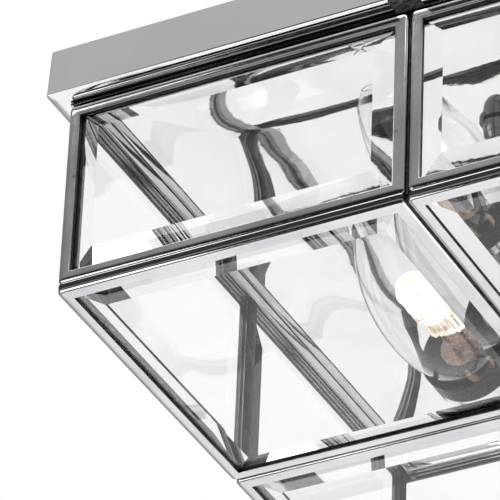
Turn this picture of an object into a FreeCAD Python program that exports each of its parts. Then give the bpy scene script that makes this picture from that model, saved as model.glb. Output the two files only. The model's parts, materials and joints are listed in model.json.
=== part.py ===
import FreeCAD, Part
import math
import os

# Square porch ceiling lantern: a shallow ceiling pan with a glazed box hung
# below it, two panes to each wall and four in the bottom.  The glazed box
# swings down on a hinge along the back edge of the pan so that the two candle
# lamps, which lie flat under the pan, can be changed.
# Frame: +Z up, origin at the middle of the pan where it meets the ceiling.
# The front wall faces -Y.  All sizes are in millimetres.

V = FreeCAD.Vector

# ---------------------------------------------------------------- sizes
box_w = 232.0          # glazed box, outer width and depth
total_h = 89.0         # ceiling to the underside of the bottom frames
seam = 1.0             # gap between neighbouring frames in one plane
edge_steps = 3         # flat steps in a small rounded edge
roll_steps = 4         # the same in a wider one
seat = 0.3             # gap where a frame stands on or beside another
touch = 0.1            # gap left for solder between bars and frames

pan_overhang = 5.0     # ceiling pan, at the ceiling, beyond the glazed box on each side
pan_h = 17.5           # pan height
pan_t = 0.8            # pan sheet
pan_splay = 0.5        # how far each side leans out at the bottom
pan_roll_w = 3.4       # lower edge rolled inward as a quarter ellipse, this wide
pan_roll_h = 1.0       # and this high
pan_corner_r = 1.4     # upright corners of the pan

frame_d = 3.5          # frame strip, depth
lip_w = 4.0            # frame strip, face width
lip_t = 1.8            # thickness of the lip in front of the glass
back_w = 1.9           # width of the lip behind the glass
back_t = 0.5           # its thickness
edge_t = 0.8           # metal at the rim of the frame, outside the glass
frame_corner_r = 1.8   # rounded corners of each frame, seen square on
frame_bead_r = 1.5     # rounded outer edge of the strip

glass_fit = 0.05       # clearance of the glass in its groove
glass_inset = 0.15     # face of the glass below the face of the frame
bevel_w = 7.0          # visible width of the bevel

bar_w = 4.2            # dark bars behind the seams, width
bar_d = 0.9            # the same, depth
fillet_leg = 1.6       # three-sided solder runs in the corners and along the foot
rib_t = 0.6            # rib of a bar standing in the seam
rib_d = 2.2            # how deep the rib reaches into the seam

rim_w = 4.5            # folded rim around the open top of the box, inside the walls
rim_t = 0.6
rim_set_back = 0.2     # its outer edge behind the face of the walls
rim_lip_h = 3.4        # turned-down inner lip of the rim

hinge_len = 60.0       # back hinge
hinge_knuckles = 3
hinge_leaf_t = 0.8
hinge_leaf_w = 3.4     # width of the leaf soldered to the pan
hinge_drop = 2.6       # height of the leaf on the wall
knuckle_r = 2.0
pin_r = 1.0
pin_fit = 0.05         # radial running fit of the pin
knuckle_gap = 0.2      # end play between knuckles
pin_head_r = 1.6
pin_head_t = 0.6

notch_w = 9.6          # finger notch in the front edge of the pan
notch_h = 3.2
notch_room = 1.6       # room in the notch behind the catch blade
blade_w = 7.0          # catch blade on the rim
blade_t = 0.8
blade_h = 8.0          # height of the blade above the pan sheet
clip_t = 0.4           # sprung catch clip around the blade
clip_gap = 0.45        # clearance each side of the blade
clip_h = 6.5
clip_back_w = 26.0     # back leg, also closes the view through the notch
clip_back_h = 12.5
clip_side_w = 2.2      # metal left beside the slot in the clip
clip_foot_l = 6.0      # foot of the clip, spot welded to the pan

strap_l = 136.0        # ceiling strap
strap_w = 22.0
strap_t = 2.0
strap_drop = 4.0       # the two ends are cranked down by this much
strap_flat_l = 80.0    # length of the middle part that lies on the ceiling
strap_crank_l = 6.0
slot_pitch = 60.0      # ceiling screw slots
slot_l = 16.0
slot_w = 4.6
strap_hole_r = 5.0     # wire hole in the middle

stud_pitch = 104.4     # pan fixing studs
stud_r = 2.0
stud_head_r = 3.6
stud_head_h = 2.2
stud_fit = 0.25        # radial clearance where a stud passes a hole
nut_af = 7.0           # hexagon nuts across flats
nut_h = 3.0
washer_r = 5.5
washer_t = 0.8
dome_r = 4.4           # domed nuts under the pan
dome_h = 8.5
dome_skirt_h = 3.2

block_l = 27.0         # three-way terminal block
block_w = 17.0
block_h = 11.5
block_x = 27.0         # its middle, from the middle of the pan
block_poles = 3
block_screw_r = 1.5
earth_x = -27.0        # earth post inside the pan
earth_r = 2.0
earth_h = 9.0
earth_tag_r = 4.0
earth_tag_t = 0.8

lamp_x = 44.1          # lamp axis, sideways from the middle
lamp_z = 45.5          # lamp axis, below the ceiling
lamp_rim_y = 17.4      # open end of the lampholder, beyond the middle
cup_r = 15.3           # lampholder: open cup around the neck of the lamp
cup_t = 0.9
cup_l = 12.0
cup_mouth_l = 1.6      # taper where the cup leads into the bore
barrel_r = 11.2        # lampholder: narrower barrel behind the cup
barrel_l = 24.0
barrel_step_r = 9.2    # lampholder: last step before the thread
barrel_step_l = 3.0
nipple_r = 4.9         # threaded tube that holds the lampholder
nipple_l = 8.5
nipple_bore_r = 3.4
holder_nut_af = 14.0
holder_nut_h = 3.0
bracket_w = 20.0       # bent bracket under the pan
bracket_t = 1.5
bracket_foot_l = 15.0
bracket_bend_r = 2.5   # outer radius of the bend
bracket_tail = 10.0    # bracket below the lamp axis
rivet_r = 2.2
rivet_h = 1.1
wire_hole_r = 4.0
grommet_t = 1.2
grommet_gap = 1.0      # grommet clear of the bracket

cap_r = 6.9            # E14 screw cap
cap_t = 0.35
cap_l = 17.0
cap_fit = 0.35         # radial clearance of the cap in the lampholder
cap_collar_r = 8.3     # flared mouth of the cap around the glass
cap_collar_l = 2.4
contact_l = 4.6        # insulator cone and contact at the foot of the cap
contact_top_r = 5.6
contact_tip_r = 2.4
glass_r = 17.1         # candle glass, widest radius
glass_l = 75.0         # from the lampholder rim to the tip
glass_crest_at = 22.0  # widest place, from the lampholder rim
glass_tip_r = 2.7      # where the nose passes into the rounded tip
glass_tip_h = 1.6
glass_neck_l = 13.0    # glass hidden in the cup
glass_neck_r = 6.2
glass_wall = 0.9
capsule_r = 5.0        # halogen capsule inside the glass
capsule_l = 20.0
capsule_at = 21.0      # start of the capsule, from the lampholder rim
pinch_w = 10.0
pinch_t = 3.2
pinch_l = 8.5
stem_disc_r = 7.3      # disc that carries the capsule wires
stem_disc_t = 1.0
stem_disc_at = 2.5     # from the lampholder rim
stem_tube_r = 3.6      # tube of the stem in the neck of the glass
stem_foot_l = 1.5      # wider foot of the tube, sealed in the neck
stem_wire_r = 0.5
stem_wire_gap = 6.0
lamp_foot_gap = 0.3    # contact of the lamp to the spring of the holder
spring_t = 0.5
spring_w = 5.0
spring_l = 12.0

# ---------------------------------------------------------------- derived
half = box_w / 2.0
pan_w = box_w + 2.0 * pan_overhang
z_pan = -pan_h
z_bottom = -total_h
z_rim_top = z_pan - seat
z_rim_foot = z_rim_top - rim_t
z_wall_top = z_rim_foot - seat
z_wall_foot = z_bottom + frame_d + seat
wall_h = z_wall_top - z_wall_foot
inner = half - frame_d                      # inner face of the wall frames
bar_out = inner - touch                     # outer face of the bars
z_bar_foot = z_bottom + frame_d + touch
z_bar_top = z_bar_foot + fillet_leg
long_frame_w = (box_w - seam) / 2.0
short_frame_w = (box_w - 2.0 * frame_d - 2.0 * seat - seam) / 2.0

os.makedirs("parts", exist_ok=True)


# ---------------------------------------------------------------- helpers
def save(shape, name):
    """Write one piece, or one set of like pieces, as a STEP file."""
    solids = shape.Solids
    out = solids[0] if len(solids) == 1 else Part.makeCompound(solids)
    out.exportStep("parts/" + name + ".step")
    print(name, len(solids), round(out.Volume, 1))


def block(x0, x1, y0, y1, z0, z1):
    """Box between two corners, given as ranges."""
    return Part.makeBox(x1 - x0, y1 - y0, z1 - z0, V(x0, y0, z0))


def rod(radius, length, base, axis):
    return Part.makeCylinder(radius, length, base, axis)


def outline(w, d, z, corner_r, steps):
    """Points of a rectangle centred on the Z axis, its corners rounded in a few flat steps."""
    points = []
    for quarter, (sx, sy) in enumerate(((1, 1), (-1, 1), (-1, -1), (1, -1))):
        centre = V(sx * (w / 2 - corner_r), sy * (d / 2 - corner_r), z)
        for i in range(steps + 1):
            turn = math.radians(90 * quarter + (90.0 * i / steps if steps else 45))
            reach = corner_r if steps else 0
            points.append(centre + V(reach * math.cos(turn), reach * math.sin(turn), 0))
    return points


def tapered(sections, steps=0):
    """Solid through outlines (width, depth, z, corner radius), flat between each two."""
    rings = [outline(w, d, z, corner_r, steps) for w, d, z, corner_r in sections]
    faces = [Part.Face(Part.makePolygon(ring + ring[:1])) for ring in (rings[0], rings[-1])]
    for low, high in zip(rings, rings[1:]):
        for i in range(len(low)):
            j = (i + 1) % len(low)
            faces.append(Part.Face(Part.makePolygon([low[i], low[j], high[j], high[i], low[i]])))
    solid = Part.Solid(Part.Shell(faces))
    if solid.Volume < 0:
        solid.reverse()
    return solid


def rounding(width, height, steps):
    """Inset and rise of a rounded edge, from the side of a block to its flat face."""
    turns = [math.radians(90.0 * i / steps) for i in range(steps + 1)]
    return [(width * (1 - math.cos(t)), height * (1 - math.sin(t))) for t in turns]


def hexagon(af, height, base):
    """Hexagon prism standing on base, across flats af."""
    r = af / math.sqrt(3.0)
    pts = [V(r * math.cos(math.radians(60 * i)), r * math.sin(math.radians(60 * i)), 0) for i in range(7)]
    prism = Part.Face(Part.makePolygon(pts)).extrude(V(0, 0, height))
    prism.translate(base)
    return prism


def turned(profile, x, z):
    """Solid of revolution about the line along Y through (x, z); profile is (y, radius)."""
    pts = [V(x, y, z + r) for y, r in profile]
    face = Part.Face(Part.makePolygon(pts + pts[:1]))
    return face.revolve(V(x, 0, z), V(0, 1, 0), 360)


def turned_up(profile, x, y):
    """Solid of revolution about the upright line through (x, y); profile is (z, radius)."""
    pts = [V(x + r, y, z) for z, r in profile]
    face = Part.Face(Part.makePolygon(pts + pts[:1]))
    return face.revolve(V(x, y, 0), V(0, 0, 1), 360)


def edges_at_height(shape, z):
    return [e for e in shape.Edges if abs(e.CenterOfMass.z - z) < 1e-6]


def about_z(shape, degrees):
    copy = shape.copy()
    copy.rotate(V(0, 0, 0), V(0, 0, 1), degrees)
    return copy


# ---------------------------------------------------------------- glazing
def glazing_frame(w, h):
    """Strip frame, outer face at z = 0 and depth along +Z, with a groove for the glass."""
    bead = rounding(frame_bead_r, frame_bead_r, edge_steps)
    rings = [(w - 2 * inset, h - 2 * inset, z, frame_corner_r - inset) for inset, z in bead]
    body = tapered([(w, h, frame_d, frame_corner_r)] + rings, edge_steps)
    window = (lip_w, -1, lip_t + 1)
    groove = (edge_t, lip_t, frame_d - back_t)
    back = (back_w, lip_t, frame_d + 1)
    for inset, z0, z1 in (window, groove, back):
        body = body.cut(block(inset - w / 2, w / 2 - inset, inset - h / 2, h / 2 - inset, z0, z1))
    return body


def glazing_pane(w, h):
    """Glass of one frame: flat back, bevelled face, mitred at the corners."""
    inset = edge_t + glass_fit
    gw, gh = w - 2 * inset, h - 2 * inset
    z_back = frame_d - back_t - glass_fit
    tuck = lip_w - inset
    z_edge = lip_t + glass_fit
    steps = [(0, z_back), (0, z_edge), (tuck, z_edge), (tuck + bevel_w, glass_inset)]
    return tapered([(gw - 2 * run, gh - 2 * run, z, 0) for run, z in steps])


def on_wall(shape, offset, angle):
    """Stand a flat piece up in the wall whose outward side is -Y turned by angle."""
    placed = shape.copy()
    placed.rotate(V(0, 0, 0), V(1, 0, 0), -90)
    placed.translate(V(offset, -half, (z_wall_top + z_wall_foot) / 2.0))
    return about_z(placed, angle)


def build_walls():
    """Eight wall frames and their bevelled panes, two to a wall."""
    walls = [("front", 0, long_frame_w), ("right", 90, short_frame_w)]
    walls += [("back", 180, long_frame_w), ("left", 270, short_frame_w)]
    for name, angle, w in walls:
        for number, side in ((1, -1), (2, 1)):
            offset = side * (w + seam) / 2.0
            save(on_wall(glazing_frame(w, wall_h), offset, angle), "wall_frame_%s_%d" % (name, number))
            save(on_wall(glazing_pane(w, wall_h), offset, angle), "wall_pane_%s_%d" % (name, number))


def build_bottom():
    """Four square frames with their panes, lying in the bottom."""
    step = (long_frame_w + seam) / 2.0
    for number, (sx, sy) in enumerate(((-1, -1), (1, -1), (1, 1), (-1, 1)), 1):
        frame = glazing_frame(long_frame_w, long_frame_w)
        pane = glazing_pane(long_frame_w, long_frame_w)
        for piece, name in ((frame, "bottom_frame_%d"), (pane, "bottom_pane_%d")):
            piece.translate(V(sx * step, sy * step, z_bottom))
            save(piece, name % number)


def build_bars():
    """Dark bars soldered behind every seam, and solder runs in the corners."""
    a, leg = bar_out, fillet_leg
    z_top = z_rim_foot - touch
    pts = [V(-a, -a, 0), V(leg - a, -a, 0), V(-a, leg - a, 0)]
    post = Part.Face(Part.makePolygon(pts + pts[:1])).extrude(V(0, 0, z_top - z_bar_top - touch))
    post.translate(V(0, 0, z_bar_top + touch))
    save(Part.makeCompound([about_z(post, 90 * i) for i in range(4)]), "corner_posts")

    web = block(-bar_w / 2, bar_w / 2, -a, bar_d - a, z_bar_top + touch, z_top)
    rib = block(-rib_t / 2, rib_t / 2, -inner - rib_d, -a, z_wall_foot, z_wall_top)
    post = web.fuse(rib).removeSplitter()
    save(Part.makeCompound([about_z(post, 90 * i) for i in range(4)]), "middle_posts")

    ends = []
    for x in (touch - a, a - touch):
        tuck = leg if x < 0 else -leg
        ends.append([V(x, -a, z_bar_foot), V(x + tuck, leg - a, z_bar_foot), V(x, -a, z_bar_top)])
    faces = [Part.Face(Part.makePolygon(end + end[:1])) for end in ends]
    for i in range(3):
        j = (i + 1) % 3
        faces.append(Part.Face(Part.makePolygon([ends[0][i], ends[0][j], ends[1][j], ends[1][i], ends[0][i]])))
    run = Part.Solid(Part.Shell(faces))
    if run.Volume < 0:
        run.reverse()
    save(Part.makeCompound([about_z(run, 90 * i) for i in range(4)]), "bottom_edge_bars")

    reach = a - leg - touch
    z_rib = z_bottom + frame_d - rib_d
    cross = block(-reach, reach, -bar_w / 2, bar_w / 2, z_bar_foot, z_bar_foot + bar_d)
    rib = block(-half + lip_t, half - lip_t, -rib_t / 2, rib_t / 2, z_rib, z_bar_foot)
    cross = cross.fuse(rib)
    cross = cross.fuse(about_z(cross, 90)).removeSplitter()
    save(cross, "bottom_cross")


def square_ring(a, b, z0, z1):
    """Square tube from half-width a outside to b inside."""
    return block(-a, a, -a, a, z0, z1).cut(block(-b, b, -b, b, z0 - 1, z1 + 1))


def build_rim():
    """Folded rim around the open top of the box, with the blade of the catch."""
    b = bar_out - rim_w
    rim = square_ring(half - rim_set_back, b, z_rim_foot, z_rim_top)
    rim = rim.fuse(square_ring(b + rim_t, b, z_rim_foot - rim_lip_h, z_rim_foot)).removeSplitter()
    save(rim, "top_rim")

    y0 = -bar_out + touch
    z_top = z_pan + pan_t + blade_h
    blade = block(-blade_w / 2, blade_w / 2, y0, y0 + blade_t, z_rim_top, z_top)
    tips = [e for e in edges_at_height(blade, z_top) if abs(e.Length - blade_t) < 1e-6]
    blade = blade.makeFillet(blade_w / 3, tips)
    foot = block(-blade_w / 2, blade_w / 2, y0, y0 + rim_w - 2 * touch, z_rim_top, z_pan - touch)
    save(blade.fuse(foot).removeSplitter(), "catch_blade")


# ---------------------------------------------------------------- hinge
def build_hinge():
    """Back hinge: one leaf under the pan, one on the wall, and the pin."""
    leaf_y = half + touch
    axis_y = leaf_y + hinge_leaf_t + knuckle_r - 0.2 * hinge_leaf_t
    axis_z = z_pan - touch - hinge_leaf_t - knuckle_r + 0.2 * hinge_leaf_t
    pitch = hinge_len / hinge_knuckles
    pan_leaf = block(-hinge_len / 2, hinge_len / 2, axis_y - hinge_leaf_w / 2, axis_y + hinge_leaf_w / 2,
                     z_pan - touch - hinge_leaf_t, z_pan - touch)
    wall_leaf = block(-hinge_len / 2, hinge_len / 2, leaf_y, leaf_y + hinge_leaf_t,
                      axis_z - hinge_drop, axis_z + knuckle_gap)
    leaves = [pan_leaf, wall_leaf]
    for i in range(hinge_knuckles):
        x0 = -hinge_len / 2 + i * pitch + knuckle_gap / 2
        tube = rod(knuckle_r, pitch - knuckle_gap, V(x0, axis_y, axis_z), V(1, 0, 0))
        leaves[i % 2] = leaves[i % 2].fuse(tube)
        start = V(x0 - knuckle_gap, axis_y, axis_z)
        room = rod(knuckle_r + knuckle_gap, pitch + knuckle_gap, start, V(1, 0, 0))
        leaves[1 - i % 2] = leaves[1 - i % 2].cut(room)
    bore = rod(pin_r + pin_fit, hinge_len + 2, V(-hinge_len / 2 - 1, axis_y, axis_z), V(1, 0, 0))
    save(leaves[0].cut(bore).removeSplitter(), "hinge_leaf_pan")
    save(leaves[1].cut(bore).removeSplitter(), "hinge_leaf_wall")
    pin = rod(pin_r, hinge_len + 2 * knuckle_gap, V(-hinge_len / 2 - knuckle_gap, axis_y, axis_z), V(1, 0, 0))
    for side in (-1, 1):
        start = side * (hinge_len / 2 + knuckle_gap)
        pin = pin.fuse(rod(pin_head_r, pin_head_t, V(start, axis_y, axis_z), V(side, 0, 0)))
    save(pin.removeSplitter(), "hinge_pin")
    print("hinge axis y z", round(axis_y, 3), round(axis_z, 3))


# ---------------------------------------------------------------- ceiling pan
def pan_block(inset, depth):
    """Solid of the pan's outline, drawn in by inset, from the ceiling down to depth."""
    corner_r = pan_corner_r - inset
    top, foot = pan_w - 2 * inset, pan_w - 2 * inset + 2 * pan_splay * depth / pan_h
    rings = [(top, top, 0, corner_r)]
    for roll, rise in rounding(pan_roll_w, pan_roll_h, roll_steps):
        rings.append((foot - 2 * roll, foot - 2 * roll, rise - depth, max(corner_r - roll, pan_roll_h / 4)))
    return tapered(rings, edge_steps)


def build_pan():
    """Pressed tray, open to the ceiling, polished underneath."""
    pan = pan_block(0, pan_h)
    pan = pan.cut(pan_block(pan_t, pan_h - pan_t))
    y_front = -pan_w / 2 - pan_splay - 1
    y_back = -bar_out + touch + blade_t + notch_room
    notch = block(-notch_w / 2, notch_w / 2, y_front, y_back, z_pan - 1, z_pan + notch_h)
    arch = [e for e in notch.Edges if abs(e.Vertexes[0].Point.z - e.Vertexes[-1].Point.z) < 1e-6
            and e.Vertexes[0].Point.z > z_pan and abs(e.Vertexes[0].Point.x - e.Vertexes[-1].Point.x) < 1e-6]
    pan = pan.cut(notch.makeFillet(notch_h * 0.45, arch))
    for sy in (-1, 1):
        pan = pan.cut(rod(stud_r + stud_fit, pan_t * 3, V(0, sy * stud_pitch / 2, z_pan - pan_t), V(0, 0, 1)))
    for x, y in wire_hole_places():
        pan = pan.cut(rod(wire_hole_r, pan_t * 3, V(x, y, z_pan - pan_t), V(0, 0, 1)))
    save(pan, "ceiling_pan")


def wire_hole_places():
    """Holes for the lamp leads, just behind each lampholder bracket."""
    y = holder_back() + bracket_t + bracket_foot_l + wire_hole_r + grommet_t + grommet_gap
    return [(-lamp_x, y), (lamp_x, -y)]


def build_grommets():
    """Rubber bushes in the two wire holes."""
    rings = []
    flange = wire_hole_r + grommet_t
    bore = wire_hole_r - grommet_t
    for x, y in wire_hole_places():
        ring = rod(wire_hole_r - touch, pan_t + 2 * touch, V(x, y, z_pan - touch), V(0, 0, 1))
        ring = ring.fuse(rod(flange, grommet_t, V(x, y, z_pan - touch - grommet_t), V(0, 0, 1)))
        ring = ring.fuse(rod(flange, grommet_t, V(x, y, z_pan + pan_t + touch), V(0, 0, 1)))
        rings.append(ring.cut(rod(bore, 20, V(x, y, z_pan - 10), V(0, 0, 1))).removeSplitter())
    save(Part.makeCompound(rings), "grommets")


def build_strap():
    """Cranked ceiling strap with two screw slots, and the studs that carry the pan."""
    f, c, e = strap_flat_l / 2, strap_flat_l / 2 + strap_crank_l, strap_l / 2
    upper = [(-e, -strap_drop), (-c, -strap_drop), (-f, 0), (f, 0), (c, -strap_drop), (e, -strap_drop)]
    lower = [(y, z - strap_t) for y, z in reversed(upper)]
    pts = [V(-strap_w / 2, y, z) for y, z in upper + lower]
    strap = Part.Face(Part.makePolygon(pts + pts[:1])).extrude(V(strap_w, 0, 0))
    strap = strap.cut(rod(strap_hole_r, 3 * strap_t, V(0, 0, -2 * strap_t), V(0, 0, 1)))
    for side in (-1, 1):
        y = side * slot_pitch / 2
        run = (slot_l - slot_w) / 2
        slot = block(-slot_w / 2, slot_w / 2, y - run, y + run, -2 * strap_t, strap_t)
        for end in (-1, 1):
            slot = slot.fuse(rod(slot_w / 2, 3 * strap_t, V(0, y + end * run, -2 * strap_t), V(0, 0, 1)))
        strap = strap.cut(slot)
        strap = strap.cut(rod(stud_r + touch, 20, V(0, side * stud_pitch / 2, -15), V(0, 0, 1)))
    save(strap.removeSplitter(), "ceiling_strap")

    z_head = -strap_drop + touch
    z_tip = z_pan - washer_t - dome_skirt_h - stud_r
    studs, locknuts, washers, domes = [], [], [], []
    for side in (-1, 1):
        y = side * stud_pitch / 2
        shank = rod(stud_r, z_head - z_tip, V(0, y, z_tip), V(0, 0, 1))
        head = rod(stud_head_r, stud_head_h, V(0, y, z_head), V(0, 0, 1))
        studs.append(shank.fuse(head).removeSplitter())
        nut = hexagon(nut_af, nut_h, V(0, y, -strap_drop - strap_t - touch - nut_h))
        locknuts.append(nut.cut(rod(stud_r + touch, 30, V(0, y, -30), V(0, 0, 1))))
        washer = rod(washer_r, washer_t, V(0, y, z_pan - touch - washer_t), V(0, 0, 1))
        washers.append(washer.cut(rod(stud_r + stud_fit, 30, V(0, y, -30), V(0, 0, 1))))
        domes.append(domed_nut(y))
    save(Part.makeCompound(studs), "pan_studs")
    save(Part.makeCompound(locknuts), "stud_locknuts")
    save(Part.makeCompound(washers), "stud_washers")
    save(Part.makeCompound(domes), "dome_nuts")


def domed_nut(y):
    """Cylindrical nut with a domed end, blind bore for the stud."""
    top = z_pan - 2 * touch - washer_t
    foot = top - dome_h
    bore = stud_r + touch
    floor = top - dome_skirt_h - bore
    profile = [(floor, 0), (floor, bore), (top, bore), (top, dome_r)]
    profile += [(foot + rise, dome_r - inset) for inset, rise in rounding(dome_r, dome_h - dome_skirt_h, roll_steps)]
    return turned_up(profile, 0, y)


def build_terminals():
    """Terminal block and earth post inside the pan."""
    z0 = z_pan + pan_t + touch
    x0 = block_x - block_w / 2
    body = block(x0, x0 + block_w, -block_l / 2, block_l / 2, z0, z0 + block_h)
    screws = []
    pitch = block_l / block_poles
    step = block_h * 0.3
    for i in range(block_poles):
        y = -block_l / 2 + (i + 0.5) * pitch
        side = block_screw_r + touch
        z_wire = z0 + block_h * 0.35
        body = body.cut(block(x0 - 1, x0 + block_w + 1, y - side, y + side, z_wire - side, z_wire + side))
        for x in (x0 + block_w * 0.25, x0 + block_w * 0.75):
            body = body.cut(block(x - side, x + side, y - side, y + side, z_wire, z0 + block_h + 1))
            screws.append(hexagon(math.sqrt(3.0) * block_screw_r, step, V(x, y, z0 + block_h * 0.6)))
        if i:
            y_gap = -block_l / 2 + i * pitch
            z_gap = z0 + block_h * 0.45
            body = body.cut(block(x0 - 1, x0 + block_w + 1, y_gap - 0.6, y_gap + 0.6, z_gap, z0 + block_h + 1))
    save(body.removeSplitter(), "terminal_block")
    save(Part.makeCompound(screws), "terminal_screws")

    z1 = z_pan + pan_t
    post = rod(earth_r, earth_h, V(earth_x, 0, z1 + touch), V(0, 0, 1))
    nut = hexagon(nut_af, nut_h, V(earth_x, 0, z1 + earth_tag_t + 2 * touch))
    tag = rod(earth_tag_r, earth_tag_t, V(earth_x, 0, z1 + touch), V(0, 0, 1))
    save(post.fuse(nut).fuse(tag).removeSplitter(), "earth_terminal")


# ---------------------------------------------------------------- lamps
def holder_back():
    """Y of the closed back face of the lampholder of lamp 1."""
    return lamp_rim_y + cup_l + barrel_l + barrel_step_l


def both(shape):
    """A piece of lamp 1 and its twin, turned half round, as a pair."""
    return [shape, about_z(shape, 180)]


def build_lampholders():
    """Stepped lampholders, their brackets, nuts and contact springs."""
    x, z, y0 = -lamp_x, -lamp_z, lamp_rim_y
    y1 = y0 + cup_l
    y2 = y1 + barrel_l
    y3 = holder_back()
    bore = cap_r + cap_fit
    y_floor = y0 + glass_neck_l + cap_l + contact_l + lamp_foot_gap + spring_t * 3
    outer = [(y0, cup_r - cup_t), (y0, cup_r), (y1 - 1.5, cup_r), (y1, cup_r - 1.5), (y1, barrel_r)]
    outer += [(y2, barrel_r), (y2, barrel_step_r), (y3, barrel_step_r), (y3, nipple_r)]
    outer += [(y3 + nipple_l, nipple_r), (y3 + nipple_l, nipple_bore_r), (y_floor, nipple_bore_r)]
    outer += [(y_floor, bore), (y1 + cup_mouth_l, bore), (y1 - cup_t, cap_collar_r + cup_t)]
    outer.append((y1 - cup_t, cup_r - cup_t))
    for number, shape in enumerate(both(turned(outer, x, z)), 1):
        save(shape, "lampholder_%d" % number)

    foot_y = y3 + touch
    yb = foot_y + bracket_t
    z_low = z - bracket_tail
    z_high = z_pan - touch
    plate = block(x - bracket_w / 2, x + bracket_w / 2, foot_y, yb, z_low, z_high)
    foot = block(x - bracket_w / 2, x + bracket_w / 2, foot_y, yb + bracket_foot_l, z_high - bracket_t, z_high)
    bracket = plate.fuse(foot).removeSplitter()
    bend = [e for e in edges_at_height(bracket, z_high) if abs(e.CenterOfMass.y - foot_y) < 1e-6]
    bracket = bracket.makeFillet(bracket_bend_r, bend)
    tail = [e for e in edges_at_height(bracket, z_low) if abs(e.Length - bracket_t) < 1e-6]
    bracket = bracket.makeFillet(bracket_w * 0.3, tail)
    bracket = bracket.cut(rod(nipple_r + stud_fit, 10, V(x, foot_y - 4, z), V(0, 1, 0)))
    for side in (-1, 1):
        base = V(x + side * bracket_w / 4, yb + bracket_foot_l * 0.55, z_high - bracket_t - rivet_h)
        bracket = bracket.fuse(rod(rivet_r, rivet_h, base, V(0, 0, 1)))
    for number, shape in enumerate(both(bracket.removeSplitter()), 1):
        save(shape, "holder_bracket_%d" % number)

    nut = hexagon(holder_nut_af, holder_nut_h, V(0, 0, 0))
    nut.rotate(V(0, 0, 0), V(1, 0, 0), -90)
    nut.translate(V(x, yb + touch, z))
    nut = nut.cut(rod(nipple_r + touch, 20, V(x, yb - 5, z), V(0, 1, 0)))
    save(Part.makeCompound(both(nut)), "holder_nuts")

    y_spring = y0 + glass_neck_l + cap_l + contact_l + lamp_foot_gap
    xa, xb, z_end = x - spring_w / 2, x + spring_w / 2, z + spring_l / 2
    spring = block(xa, xb, y_spring, y_spring + spring_t, z - spring_l / 2, z_end)
    leg = block(xa, xb, y_spring, y_floor - touch, z_end - spring_t, z_end)
    spring = spring.fuse(leg).removeSplitter()
    save(Part.makeCompound(both(spring)), "holder_contacts")


def bow(run, drop, steps):
    """Points (along, down) of an arc that is level at its start and falls by drop."""
    radius = (run ** 2 + drop ** 2) / (2 * drop)
    turns = [math.asin(run / radius) * i / steps for i in range(steps + 1)]
    return [(radius * math.sin(t), radius * (1 - math.cos(t))) for t in turns]


def candle_profile(inset, steps):
    """Points (y, radius) of the candle glass from neck to tip, drawn in by inset."""
    crest_y, crest_r = lamp_rim_y - glass_crest_at, glass_r - inset
    nose_y = lamp_rim_y - glass_l + glass_tip_h
    neck = bow(lamp_rim_y + glass_neck_l - crest_y, glass_r - glass_neck_r, steps)
    nose = bow(crest_y - nose_y, glass_r - glass_tip_r, 2 * steps)
    points = [(crest_y + along, crest_r - down) for along, down in reversed(neck)]
    points += [(crest_y - along, crest_r - down) for along, down in nose[1:]]
    return points + [(nose_y - glass_tip_h + inset, 0)]


def build_lamps():
    """Two candle lamps: glass, halogen capsule on its wires, screw cap and foot contact."""
    x, z, y0 = -lamp_x, -lamp_z, lamp_rim_y
    pieces = {}
    hollow = candle_profile(glass_wall, 2)
    pieces["glass"] = turned(candle_profile(0, 3) + hollow[::-1], x, z)

    yc = y0 + glass_neck_l - cap_collar_l
    y_end = yc + cap_l
    cap = [(yc, cap_collar_r), (yc + cap_collar_l, cap_r), (y_end, cap_r), (y_end, cap_r - cap_t)]
    cap += [(yc + cap_collar_l + 1.5 * touch, cap_r - cap_t), (yc, cap_collar_r - cap_t)]
    pieces["cap"] = turned(cap, x, z)

    foot = [(y_end + touch, 0), (y_end + touch, contact_top_r), (y_end + contact_l * 0.6, contact_tip_r)]
    foot += [(y_end + contact_l, contact_tip_r * 0.8), (y_end + contact_l, 0)]
    pieces["contact"] = turned(foot, x, z)

    ya = y0 - capsule_at
    yb = ya - capsule_l
    r = capsule_r
    body = [(ya, 0), (ya, r * 0.7), (ya - 1.5, r), (yb + r, r), (yb + r * 0.3, r * 0.7)]
    body += [(yb, r * 0.16), (yb - 1.6, 0)]
    capsule = turned(body, x, z)
    pinch = block(x - pinch_w / 2, x + pinch_w / 2, ya - 1, ya + pinch_l, z - pinch_t / 2, z + pinch_t / 2)
    pieces["capsule"] = capsule.fuse(pinch).removeSplitter()

    y_disc = y0 - stem_disc_at
    stem = rod(stem_disc_r, stem_disc_t, V(x, y_disc, z), V(0, 1, 0))
    for side in (-1, 1):
        start = V(x + side * stem_wire_gap / 2, ya + pinch_l + touch, z)
        stem = stem.fuse(rod(stem_wire_r, y_disc - start.y, start, V(0, 1, 0)))
    y_neck = y0 + glass_neck_l
    stem = stem.fuse(rod(stem_tube_r, y_neck - y_disc, V(x, y_disc, z), V(0, 1, 0)))
    foot_r = glass_neck_r - glass_wall - 2 * touch
    stem = stem.fuse(rod(foot_r, stem_foot_l, V(x, y_neck - stem_foot_l, z), V(0, 1, 0)))
    pieces["stem"] = stem.removeSplitter()

    for name, shape in pieces.items():
        for number, copy in enumerate(both(shape), 1):
            save(copy, "lamp_%d_%s" % (number, name))


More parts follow.
